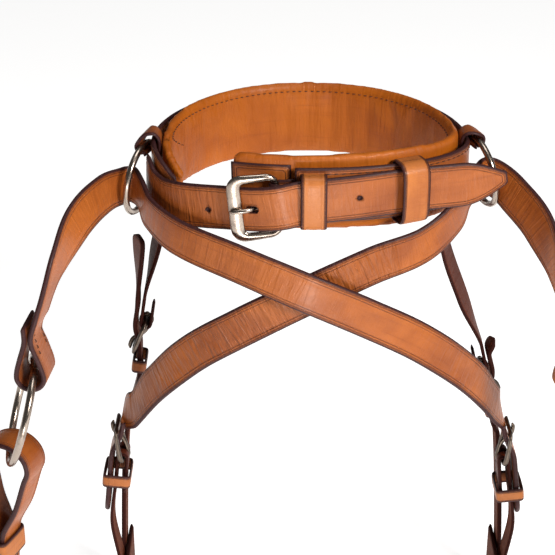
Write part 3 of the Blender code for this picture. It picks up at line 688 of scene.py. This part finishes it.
def chin_buckle_spec():
    hinge = loop_place(258.2, 1.9, -1.0)
    across, along = (-0.1, 0.0, 1.0), vec(-22.7, 5.0, -2.4)
    return Buckle("chin_buckle", hinge, across, along, 33.4, 22.0, BUCKLE_WIRE_R, 7.2, (12.6, 4.9), 4.0)


def cross_buckle_spec(side):
    hinge = vec(-111.5, -17.0, -181.0) if side < 0 else vec(117.5, -17.0, -183.0)
    name = "cross_buckle_left" if side < 0 else "cross_buckle_right"
    along = (0.11 * -side, 0.12, 1.0)
    return Buckle(name, hinge, (0.0, side, 0.0), along, 27.0, 19.0, SMALL_WIRE_R, 5.0, (12.0, 3.2))


def cheek_buckle_spec(side):
    hinge = vec(-97.0, 16.0, -107.0) if side < 0 else vec(105.5, 15.0, -138.0)
    along = vec(-0.16, -0.14, -1.0) if side < 0 else vec(0.25, -0.1, -1.0)
    name = "cheek_buckle_left" if side < 0 else "cheek_buckle_right"
    return Buckle(name, hinge, (0.0, -side, 0.0), along, 24.0, 18.0, SMALL_WIRE_R, 5.0, (11.0, 3.3))


def buckle(spec, broad, look="nickel"):
    """The frame is flat and broad on its rest bar, by broad mm a side, and round on its hinge bar."""
    half, points, radii, faces = spec.width / 2, [], [], []
    corner = spec.corner + 1.2
    reach = spec.length
    corners = ((half - corner, corner, -90), (half - corner, reach - corner, 0),
               (corner - half, reach - corner, 90), (corner - half, corner, 180))
    outline = []
    for index, (u, v, start) in enumerate(corners):
        for k in range(7):
            turn = math.radians(start + 15 * k)
            outline.append((u + corner * math.cos(turn), v + corner * math.sin(turn)))
        nu, nv, nstart = corners[(index + 1) % 4]
        tail = outline[-1]
        turn = math.radians(nstart)
        head = (nu + corner * math.cos(turn), nv + corner * math.sin(turn))
        for k in range(1, 8):
            outline.append((tail[0] + (head[0] - tail[0]) * k / 8, tail[1] + (head[1] - tail[1]) * k / 8))
    for u, v in outline:
        share = max(0.0, min(1.0, (v - 2.0) / (reach - 4.0)))
        rest = max(0.0, (v - (reach - corner)) / corner)
        width = spec.wire + broad * (0.45 * share + 0.55 * rest)
        thick = spec.wire * (1.0 - 0.28 * share)
        points.append(spec.at(u, v, spec.lift(v)))
        radii.append((width, thick))
        slope = (spec.lift(v + 0.5) - spec.lift(v - 0.5)) if v > 0.5 else 0.3
        faces.append((spec.out - spec.along * slope).normalized())
    frame_piece = wire(spec.name + "_bow", points, radii, True, 16, faces=faces)
    finish_piece(frame_piece, look, [spec.name + "_frame"])
    curl = spec.wire + TONGUE_R + 0.4
    tip_w = spec.rest_lift + spec.wire * 0.72 + TONGUE_R + 0.25
    hole_v, hole_w = spec.hole
    keys = []
    for k in range(11):
        turn = math.radians(-310 + 25 * k)
        keys.append((spec.at(0, curl * math.cos(turn), curl * math.sin(turn)), UP))
    keys.append((spec.at(0, hole_v - 2.8, hole_w - 2.9), UP))
    keys.append((spec.at(0, hole_v + 2.4, hole_w + 3.0), UP))
    keys.append((spec.at(0, spec.length - 0.5, tip_w), UP))
    keys.append((spec.at(0, spec.length + 2.0 + broad * 0.4, tip_w - 0.3), UP))
    path = [p for p, _ in smooth(keys, 0.9)]
    count = len(path)
    radii = []
    for i in range(count):
        taper = min(1.0, (count - 1 - i) / 3.5 + 0.35)
        radii.append((TONGUE_R * 1.05 * taper, TONGUE_R * 0.95 * taper))
    tongue = wire(spec.name + "_prong", path, radii, False, 12)
    finish_piece(tongue, look, [spec.name + "_tongue"], spec.name + "_tongue")


def chape_keys(spec, reach_out, reach_in):
    fold = spec.wire + GAP + CHAPE_THICK / 2
    keys = [(spec.at(0, -reach_out, fold), spec.out), (spec.at(0, -reach_out / 2, fold), spec.out)]
    for k in range(7):
        turn = math.radians(90 - 30 * k)
        v, w = fold * math.cos(turn), fold * math.sin(turn)
        keys.append((spec.at(0, v, w), spec.along * math.cos(turn) + spec.out * math.sin(turn)))
    keys.append((spec.at(0, -reach_in / 2, -fold), -spec.out))
    keys.append((spec.at(0, -reach_in, -fold), -spec.out))
    return keys


def slot_for_tongue(obj, spec):
    fold = spec.wire + GAP + CHAPE_THICK
    size = (2 * TONGUE_R + 1.6, 2 * fold + 4.0, 2 * fold + 3.0)
    return punch(obj, spec.at(0, 1.0, 0.4), (spec.across, spec.along, spec.out), size)


def tongue_hole(obj, spec):
    size = (2 * TONGUE_R + 1.4, 7.0, 9.0)
    return punch(obj, spec.at(0, *spec.hole), (spec.across, spec.along, spec.out), size)


def keeper(name, centre, across, along, out, inner, length, body, bulge, grooves=(1.5,), round_front=2.0):
    """A leather loop round its straps, its outer side bulging by bulge mm."""
    across, along, out = (Vector(a).normalized() for a in (across, along, out))
    width, depth = inner
    half_u, half_w = width / 2 + KEEPER_THICK / 2, depth / 2 + KEEPER_THICK / 2
    outline = []
    for u, w, start in ((1, 1, 0), (-1, 1, 90), (-1, -1, 180), (1, -1, 270)):
        corner = round_front if w > 0 else 2.0
        for k in range(5):
            turn = math.radians(start + 22.5 * k)
            flat_u, flat_w = u * (half_u - corner), w * (half_w - corner)
            outline.append((flat_u + corner * math.cos(turn), flat_w + corner * math.sin(turn)))
    dense = []
    for (u, w), (nu, nw) in zip(outline, outline[1:] + outline[:1]):
        steps = max(1, round(math.hypot(nu - u, nw - w) / 1.6))
        dense += [(u + (nu - u) * k / steps, w + (nw - w) * k / steps) for k in range(steps)]
    keys = []
    for i, (u, w) in enumerate(dense):
        nu, nw = dense[(i + 1) % len(dense)]
        pu, pw = dense[i - 1]
        way = vec(nu - pu, nw - pw, 0).normalized()
        puff = bulge * max(0.0, 1 - (u / half_u) ** 2) if w > 0 else 0.0
        keys.append((centre + across * u + out * (w + puff), across * way.y - out * way.x))
    obj = ribbon(name, keys, length, KEEPER_THICK, closed=True, grooves=grooves)
    return finish_piece(obj, "keeper", [name.replace("_loop", "")], body)


# ---------------------------------------------------------------- rings


def ring(name, node, centre, down, near, radius, thick):
    near = (near - down * near.dot(down)).normalized()
    steps = 96
    turns = [2 * math.pi * k / steps for k in range(steps)]
    points = [centre + (down * math.cos(turn) + near * math.sin(turn)) * radius for turn in turns]
    return finish_piece(wire(name, points, thick, True, 16), "nickel", [node], node)


def side_ring_spec(side):
    """Centre, downward direction, direction of the near half and top of the wire, which leans to the band."""
    centre = vec(-95.5, 3.0, -8.5) if side < 0 else vec(96.0, 3.0, -4.0)
    down = vec(-RING_LEAN_LEFT if side < 0 else RING_LEAN_RIGHT, 0.0, -1.0).normalized()
    near = vec(0.33 * side, -0.944, 0.0)
    return centre, down, near, centre - down * SIDE_RING_R


def ring_tab(side, label):
    """Sewn in behind the band, it folds over the band's top edge and round the ring's top wire."""
    _, _, near, top = side_ring_spec(side)
    ring_out = vec(-near.y * side, near.x * side, 0).normalized()
    band_out = vec(side, 0, 0)
    band_top = BAND_CENTRE_Z + BAND_HEIGHT / 2 - top.z
    face = HALF_WIDTH + BAND_THICK
    wire_at = abs(top.x) - face
    thick = 2.2
    fold = SIDE_WIRE_R + 0.3 + thick / 2
    inside = -BAND_THICK - PAD_SPACE / 2 - 0.2
    crest = max(band_top + 2.4, fold)
    route = [
        (inside, -8.0, 0.0), (inside, band_top - 1.0, 0.0), (inside + 1.4, crest - 0.5, 0.0),
        (-0.6, crest + 0.9, 0.2), (wire_at - 0.4, max(crest * 0.8, fold) + 0.3, 0.8),
    ]
    for k in range(6):
        turn = math.radians(40 - 32 * k)
        route.append((wire_at + fold * math.cos(turn), fold * math.sin(turn) - 0.3, 1.0))
    route.append((1.5, -fold - 1.6, 1.0))
    keys = []
    for i, (o, z, turned) in enumerate(route):
        before = route[max(i - 1, 0)]
        after = route[min(i + 1, len(route) - 1)]
        run = vec(after[0] - before[0], after[1] - before[1], 0).normalized()
        out = band_out.lerp(ring_out, turned).normalized()
        place = vec(side * (face + o), top.y, 0).lerp(top + ring_out * (o - wire_at), turned)
        place.z = top.z + z
        keys.append((place, UP * run.x - out * run.y))
    tab = ribbon("ring_tab_" + label + "_leather", keys, TAB_WIDTH, thick, 0.8, grooves=(1.6,))
    finish_piece(tab, "russet", ["ring_tab_" + label])


# ---------------------------------------------------------------- cross-under straps


def rein_ring_spec(side):
    top = vec(-149.5, -82.0, -82.0) if side < 0 else vec(142.5, -80.0, -92.0)
    down = vec(0.298 * side, 0.0, -0.955).normalized()
    near = vec(-0.13 * side, -0.99, 0.0)
    near = (near - down * near.dot(down)).normalized()
    return top, down, near


def end_loop_keys(side):
    top, _, _ = rein_ring_spec(side)
    outer = vec(-0.99 * side, -0.12, 0.0).normalized()
    lay = CROSS_THICK / 2 + 0.3
    centre = top + vec(0, 0, -2.4)
    keys = [(centre + outer * lay + UP * 22.0, outer), (centre + outer * (lay + 3.0) + UP * 11.0, outer)]
    for k in range(7):
        turn = math.radians(20 - 220 * k / 6)
        way = outer * math.cos(turn) + UP * math.sin(turn)
        keys.append((centre + way * REIN_LOOP, way))
    keys.append((centre - outer * (lay + 3.0) + UP * 11.0, -outer))
    keys.append((centre - outer * lay + UP * 21.0, -outer))
    keys.append((centre - outer * lay + UP * 30.0, -outer))
    return keys


OVER_ROUTE = (
    ((-143.5, -80.5, -50.0), (1.0, -0.12, 0.0)), ((-135.0, -70.0, -27.0), (0.98, -0.1, 0.15)),
    ((-125.5, -47.0, -12.5), (0.9, -0.3, 0.3)), ((-114.5, -22.0, -8.5), (0.75, -0.62, 0.2)),
    ((-105.5, -5.5, -10.5), (0.4, -0.9, 0.1)), ((-100.5, -0.5, -11.5), (-0.3, -1.0, 0.0)),
    ((-95.3, -8.4, -13.0), (-0.95, -0.35, 0.0)), ((-89.5, -24.0, -18.5), (-0.9, -0.5, 0.0)),
    ((-73.5, -42.0, -24.5), (-0.75, -0.7, 0.1)), ((-40.0, -61.0, -31.5), (-0.35, -1.0, 0.1)),
    ((-6.0, -70.5, -43.0), (0.0, -1.0, 0.1)), ((28.0, -68.0, -60.0), (0.25, -1.0, 0.1)),
    ((61.0, -57.0, -82.5), (0.55, -0.85, 0.1)), ((92.0, -38.0, -114.5), (0.8, -0.6, 0.1)),
    ((109.0, -24.0, -141.0), (0.93, -0.35, 0.1)),
)
UNDER_ROUTE = (
    ((138.0, -77.0, -56.0), (-1.0, -0.12, 0.0)), ((131.5, -62.0, -33.5), (-0.98, -0.1, 0.2)),
    ((123.5, -39.0, -18.5), (-0.85, -0.35, 0.4)), ((113.5, -18.5, -11.0), (-0.7, -0.65, 0.3)),
    ((106.0, -5.0, -7.5), (-0.4, -0.9, 0.1)), ((98.8, -0.5, -6.0), (0.3, -1.0, 0.0)),
    ((92.5, -9.0, -6.5), (0.95, -0.35, 0.0)), ((86.0, -20.5, -8.5), (0.87, -0.5, 0.0)),
    ((78.4, -33.8, -17.5), (0.75, -0.66, 0.0)), ((61.0, -47.0, -27.5), (0.6, -0.8, 0.05)),
    ((33.0, -58.5, -34.0), (0.3, -1.0, 0.1)),
    ((-6.0, -65.0, -51.0), (0.0, -1.0, 0.1)), ((-38.0, -61.0, -70.5), (-0.3, -1.0, 0.1)),
    ((-66.0, -49.5, -93.5), (-0.6, -0.8, 0.1)), ((-90.0, -33.0, -124.0), (-0.85, -0.5, 0.1)),
    ((-103.0, -22.0, -147.0), (-0.95, -0.3, 0.1)),
)


def cross_end_keys(side):
    spec = cross_buckle_spec(side)
    over, under = spec.over(CROSS_THICK), spec.under(CROSS_THICK)
    route = ((spec.length + 8.0, under - 0.8), (spec.length, under), (12.0, 3.2))
    route += ((5.0, over - 0.6), (0.0, over), (-12.0, over), (-38.0, over))
    return [(spec.at(0, v, w), spec.out) for v, w in route]


def cross_strap(name, node, side, route, wrinkle):
    keys = list(reversed(end_loop_keys(side))) + list(route) + cross_end_keys(-side)
    obj = ribbon(name, keys, CROSS_WIDTH, CROSS_THICK, 1.6, ("square", "point"), 10.0, wrinkle=wrinkle)
    tongue_hole(obj, cross_buckle_spec(-side))
    finish_piece(obj, "russet", [node])
    top, _, _ = rein_ring_spec(side)
    outer = vec(-0.99 * side, -0.12, 0.0).normalized()
    width = vec(0.12 * side, -0.99, 0.0).normalized()
    for label, u in (("near", 6.6), ("far", -6.6)):
        path = []
        for k in range(9):
            height = 10.0 + 2.4 * k
            bow = 3.0 * max(0.0, 1 - (height - 8.6) / 12.0)
            path.append((top + outer * (CROSS_THICK + 0.4 + bow) + UP * height + width * u, outer))
        stitches(name + "_stitches_" + label, path, "bridle", 2.2, 3.6, 0.3)


# ---------------------------------------------------------------- cheeks, crown and reins


def cheek_strap(side):
    spec = cheek_buckle_spec(side)
    angle = 152.0 if side < 0 else 28.0
    out = loop_normal(angle)
    start = loop_place(angle, BAND_THICK + GAP + CHAPE_THICK / 2, 9.0)
    keys = [(start, out), (start + vec(0, 0, -12), out), (start + out * 0.6 + vec(0, 0, -27), out)]
    keys.append((vec(-89.0, 24.0, -56.0) if side < 0 else vec(80.0, 24.0, -56.0), vec(side, -0.36, 0)))
    if side > 0:
        keys.append((vec(92.0, 19.0, -92.0), vec(1, -0.34, 0.2)))
    keys += chape_keys(spec, 16.0, 10.0)
    node = "cheek_strap_left" if side < 0 else "cheek_strap_right"
    obj = ribbon(node + "_leather", keys, CHEEK_WIDTH, CHAPE_THICK, 1.8, grooves=(1.8,))
    slot_for_tongue(obj, spec)
    finish_piece(obj, "cheek", [node])


def foot_place(side):
    return vec(-112.5, -16.0, -268.0) if side < 0 else vec(118.5, -16.0, -268.0)


def cheek_billet(side):
    spec = cheek_buckle_spec(side)
    node = "cheek_billet_left" if side < 0 else "cheek_billet_right"
    over, under = spec.over(STRAP_THICK), spec.under(STRAP_THICK)
    out = vec(side, 0, 0)
    foot = foot_place(side) + out * (GAP + STRAP_THICK / 2)
    tip_run = 52.0 if side < 0 else 15.0
    keys = [(foot + vec(0, 11.0, -15.0), out), (foot + vec(0, 11.0, 20.0), out)]
    keys.append((foot + vec(0, 28.5, 86.0) + out * -3.0, out))
    for v, w in ((34.0, -0.6), (spec.length + 5.0, under - 0.6), (spec.length, under), spec.hole):
        keys.append((spec.at(0, v, w), spec.out))
    keys += [(spec.at(0, v, w), spec.out) for v, w in ((4.5, over - 0.6), (0.0, over), (-9.0, over))]
    turned = vec(0.0, -0.4, 0.0) if side < 0 else vec(0.0, 0.0, 0.0)
    keys.append((spec.at(0, -tip_run, over + 5.0), spec.out + turned))
    ends = ("square", "round")
    obj = ribbon(node + "_leather", keys, CHEEK_WIDTH, STRAP_THICK, 1.8, ends, 5.0, grooves=(1.8,))
    tongue_hole(obj, spec)
    finish_piece(obj, "cheek", [node])


def crown_strap(side):
    spec = cross_buckle_spec(side)
    node = "crown_strap_left" if side < 0 else "crown_strap_right"
    out = vec(side, 0, 0)
    foot = foot_place(side) + out * (2 * GAP + CHAPE_THICK / 2)
    fold = spec.wire + GAP + CHAPE_THICK / 2
    keys = [(foot + vec(0, -11.0, -15.0), out), (foot + vec(0, -11.0, 15.0), out)]
    keys.append((spec.at(0, -44.0, fold), spec.out))
    keys += chape_keys(spec, 18.0, 22.0)
    obj = ribbon(node + "_leather", keys, CHEEK_WIDTH, CHAPE_THICK, 1.8, grooves=(1.8,))
    slot_for_tongue(obj, spec)
    finish_piece(obj, "cheek", [node])


def headpiece_end(side):
    out = vec(side, 0, 0)
    place = foot_place(side) - out * STRAP_THICK / 2
    keys = [(place + vec(0, 0, -18.0), out), (place + vec(0, 0, 18.0), out)]
    node = "headpiece_end_left" if side < 0 else "headpiece_end_right"
    obj = ribbon(node + "_leather", keys, 44.0, STRAP_THICK, 1.8, grooves=(1.8,))
    finish_piece(obj, "cheek", [node])


def rein_end(side):
    top, down, _ = rein_ring_spec(side)
    label = "left" if side < 0 else "right"
    pivot = top + down * 2 * REIN_RING_R
    width = vec(0.38 * side, -0.925, 0.0).normalized()
    outer = vec(-0.925 * side, -0.38, 0.0).normalized()
    fall = (vec(0, 0, -1) + vec(0.1 * side, 0, 0)).normalized()
    radius, lay = 14.5, REIN_THICK / 2 + 0.35
    centre = pivot + fall * (radius - 9.5)
    keys = [(centre + outer * lay + fall * run, outer) for run in (92.0, 70.0, 50.0)]
    keys.append((centre + outer * (lay + 0.7) + fall * 43.5, outer))
    keys.append((centre + outer * (lay + 7.6) + fall * 27.0, outer))
    for k in range(9):
        turn = math.radians(-28 + 236 * k / 8)
        way = outer * math.cos(turn) - fall * math.sin(turn)
        keys.append((centre + way * radius + outer * math.cos(turn) * 1.8, way))
    keys.append((centre - outer * (lay + 7.6) + fall * 27.0, -outer))
    keys.append((centre - outer * (lay + 0.7) + fall * 43.5, -outer))
    keys += [(centre - outer * lay + fall * run, -outer) for run in (50.0, 62.0, 74.0)]
    body = "rein_end_" + label
    obj = ribbon(body + "_leather", keys, REIN_WIDTH, REIN_THICK, 1.8)
    finish_piece(obj, "russet", [body], body)
    size = (REIN_WIDTH + 1.2, 2 * REIN_THICK + 2.0)
    name = "rein_keeper_" + label + "_loop"
    keeper(name, centre + fall * 56.0, width, fall, outer, size, 14.0, body, 0.4)
    surface = centre + outer * (2 * lay - 0.35)
    for name, u in (("near", 6.2), ("far", -6.2)):
        path = [(surface + fall * (66.0 + 2 * k) + width * u, outer) for k in range(13)]
        stitches(body + "_stitches_" + name, path, body, 2.2, 3.6, 0.3)


def chin_closure():
    spec = chin_buckle_spec()
    buckle(spec, 2.0)
    fold = spec.wire + GAP + CHAPE_THICK / 2
    back = spec.wire + 2 * TONGUE_R + 0.9
    keys = chape_keys(spec, 2 * back, 2 * back)[1:-1]
    keys.insert(0, (loop_place(263.1, 1.2 + fold, 0.0), loop_normal(263.1)))
    keys.append((loop_place(264.5, 1.6 - fold, 0.0), -loop_normal(264.5)))
    chape = ribbon("chin_chape_leather", keys, BILLET_WIDTH, CHAPE_THICK, 1.4, grooves=(1.9,))
    slot_for_tongue(chape, spec)
    finish_piece(chape, "russet", ["chin_buckle_chape"])

    def sag(share, across):
        return 0.30 if share < 0.30 else 0.16

    ends = ("square", "point")
    size = (BILLET_WIDTH, STRAP_THICK)
    billet = ribbon("chin_billet_leather", billet_keys(), *size, 1.6, ends, 26.0, wrinkle=sag)
    tongue_hole(billet, spec)
    for angle, off, z in ((231.5, 4.1, -7.4), (286.5, 4.8, 3.9)):
        n = loop_normal(angle)
        punch(billet, loop_place(angle, off + STRAP_THICK / 2, z), (UP, UP.cross(n), n), (2.6, 3.0, 2.2))
    finish_piece(billet, "russet", ["chin_billet"])
    running = "chin_keeper_running"
    for name, angle, out, low, inner, length, body, *shape in (
        ("chin_keeper_fixed", 270.6, 4.1, 2.4, (27.6, 10.0), 14.0, "bridle", 0.3, (1.5, 3.1, 4.7), 3.2),
        (running, 306.5, 4.6, 0.0, (BAND_HEIGHT + 1.4, 10.8), 16.0, running, 1.2, (1.5,), 5.2),
    ):
        normal = loop_normal(angle)
        centre = loop_place(angle, out, band_z(angle) - low)
        keeper(name + "_loop", centre, UP, UP.cross(normal), normal, inner, length, body, *shape)


def side_keepers():
    for side, label, cross_v in ((-1, "left", -4.5), (1, "right", -12.0)):
        spec = cheek_buckle_spec(side)
        centre = spec.at(0, 27.0, spec.under(STRAP_THICK) - 1.2)
        name = "cheek_keeper_" + label
        size = (CHEEK_WIDTH + 2.0, 5.6)
        keeper(name + "_loop", centre, spec.across, spec.along, spec.out, size, 8.0, name, 0.2)
        spec = cross_buckle_spec(side)
        fold = spec.wire + GAP + CHAPE_THICK / 2
        inner, outer = -fold - CHAPE_THICK / 2, spec.over(CROSS_THICK) + CROSS_THICK / 2
        centre = spec.at(0, cross_v - 9.0, (inner + outer) / 2)
        name = "cross_keeper_" + label
        size = (CROSS_WIDTH + 1.8, outer - inner + 1.8)
        keeper(name + "_loop", centre, spec.across, spec.along, spec.out, size, 8.0, name, 0.2)


# ---------------------------------------------------------------- studio


def studio():
    floor_z = cad_box[0][2] - 0.004
    mesh = bpy.data.meshes.new("floor")
    size = 40.0
    corners = [(x * size, y * size, floor_z) for x, y in ((-1, -1), (1, -1), (1, 1), (-1, 1))]
    mesh.from_pydata(corners, [], [(0, 1, 2, 3)])
    floor = bpy.data.objects.new("floor", mesh)
    n = Nodes("pale_floor")
    place = n.node("ShaderNodeTexCoord").outputs["Object"]
    shade = n.mix(n.noise(place, 3.0), srgb(252, 251, 250), srgb(248, 247, 246))
    n.put(n.shader.inputs["Base Color"], shade)
    n.shader.inputs["Roughness"].default_value = 0.85
    n.shader.inputs["Emission Color"].default_value = (1.0, 1.0, 1.0, 1.0)
    n.shader.inputs["Emission Strength"].default_value = 0.76
    mesh.materials.append(n.material)
    bpy.context.scene.collection.objects.link(floor)
    world = bpy.data.worlds.new("studio")
    world.use_nodes = True
    world.node_tree.nodes["Background"].inputs["Color"].default_value = (1.0, 0.99, 0.975, 1)
    world.node_tree.nodes["Background"].inputs["Strength"].default_value = 0.10
    bpy.context.scene.world = world
    aim = vec(-0.01, -0.03, -0.08)
    for name, place, size, power, tint in (
        ("key", (0.55, -0.74, 0.50), 0.30, 10.5, (1.0, 0.98, 0.95)),
        ("low", (0.02, -0.80, -0.24), 0.10, 1.5, (1.0, 0.99, 0.97)),
        ("top", (0.1, -0.1, 1.0), 0.6, 3.0, (1.0, 1.0, 1.0)),
    ):
        data = bpy.data.lights.new(name, "AREA")
        data.shape = "DISK"
        data.size = size
        data.energy = power
        data.color = tint
        lamp = bpy.data.objects.new(name, data)
        lamp.location = place
        lamp.rotation_euler = (aim - Vector(place)).to_track_quat("-Z", "Y").to_euler()
        bpy.context.scene.collection.objects.link(lamp)


def camera():
    data = bpy.data.cameras.new("camera")
    data.sensor_width = 36.0
    data.lens = 103.3
    data.clip_start = 0.05
    view = bpy.data.objects.new("camera", data)
    tilt = math.radians(27.0)
    forward = vec(0, math.cos(tilt), -math.sin(tilt))
    target = vec(-0.0183, -0.0242, -0.0586)
    distance = 0.9
    view.location = target - forward * distance
    view.rotation_euler = forward.to_track_quat("-Z", "Y").to_euler()
    bpy.context.scene.collection.objects.link(view)
    bpy.context.scene.camera = view


def main():
    bpy.context.scene.view_settings.view_transform = "Standard"
    camera()
    noseband()
    chin_closure()
    side_keepers()

    def pulled(share, across):
        return 0.9 if 0.50 < share < 0.80 else 0.25

    cross_strap("cross_over_leather", "cross_strap_over", -1, OVER_ROUTE, lambda share, across: 0.2)
    cross_strap("cross_under_leather", "cross_strap_under", 1, UNDER_ROUTE, pulled)
    for side, label in ((-1, "left"), (1, "right")):
        centre, down, near, _ = side_ring_spec(side)
        name = "side_ring_" + label
        ring(name + "_wire", name, centre, down, near, SIDE_RING_R, SIDE_WIRE_R)
        ring_tab(side, label)
        top, down, near = rein_ring_spec(side)
        name = "rein_ring_" + label
        ring(name + "_wire", name, top + down * REIN_RING_R, down, near, REIN_RING_R, REIN_WIRE_R)
        cheek_strap(side)
        cheek_billet(side)
        crown_strap(side)
        headpiece_end(side)
        rein_end(side)
        # The side buckles take the nickel copy whose darker colour is painted shade and painted dark
        # reflection
        buckle(cheek_buckle_spec(side), 0.3, "shaded_nickel")
        buckle(cross_buckle_spec(side), 0.3, "shaded_nickel")
    studio()


main()
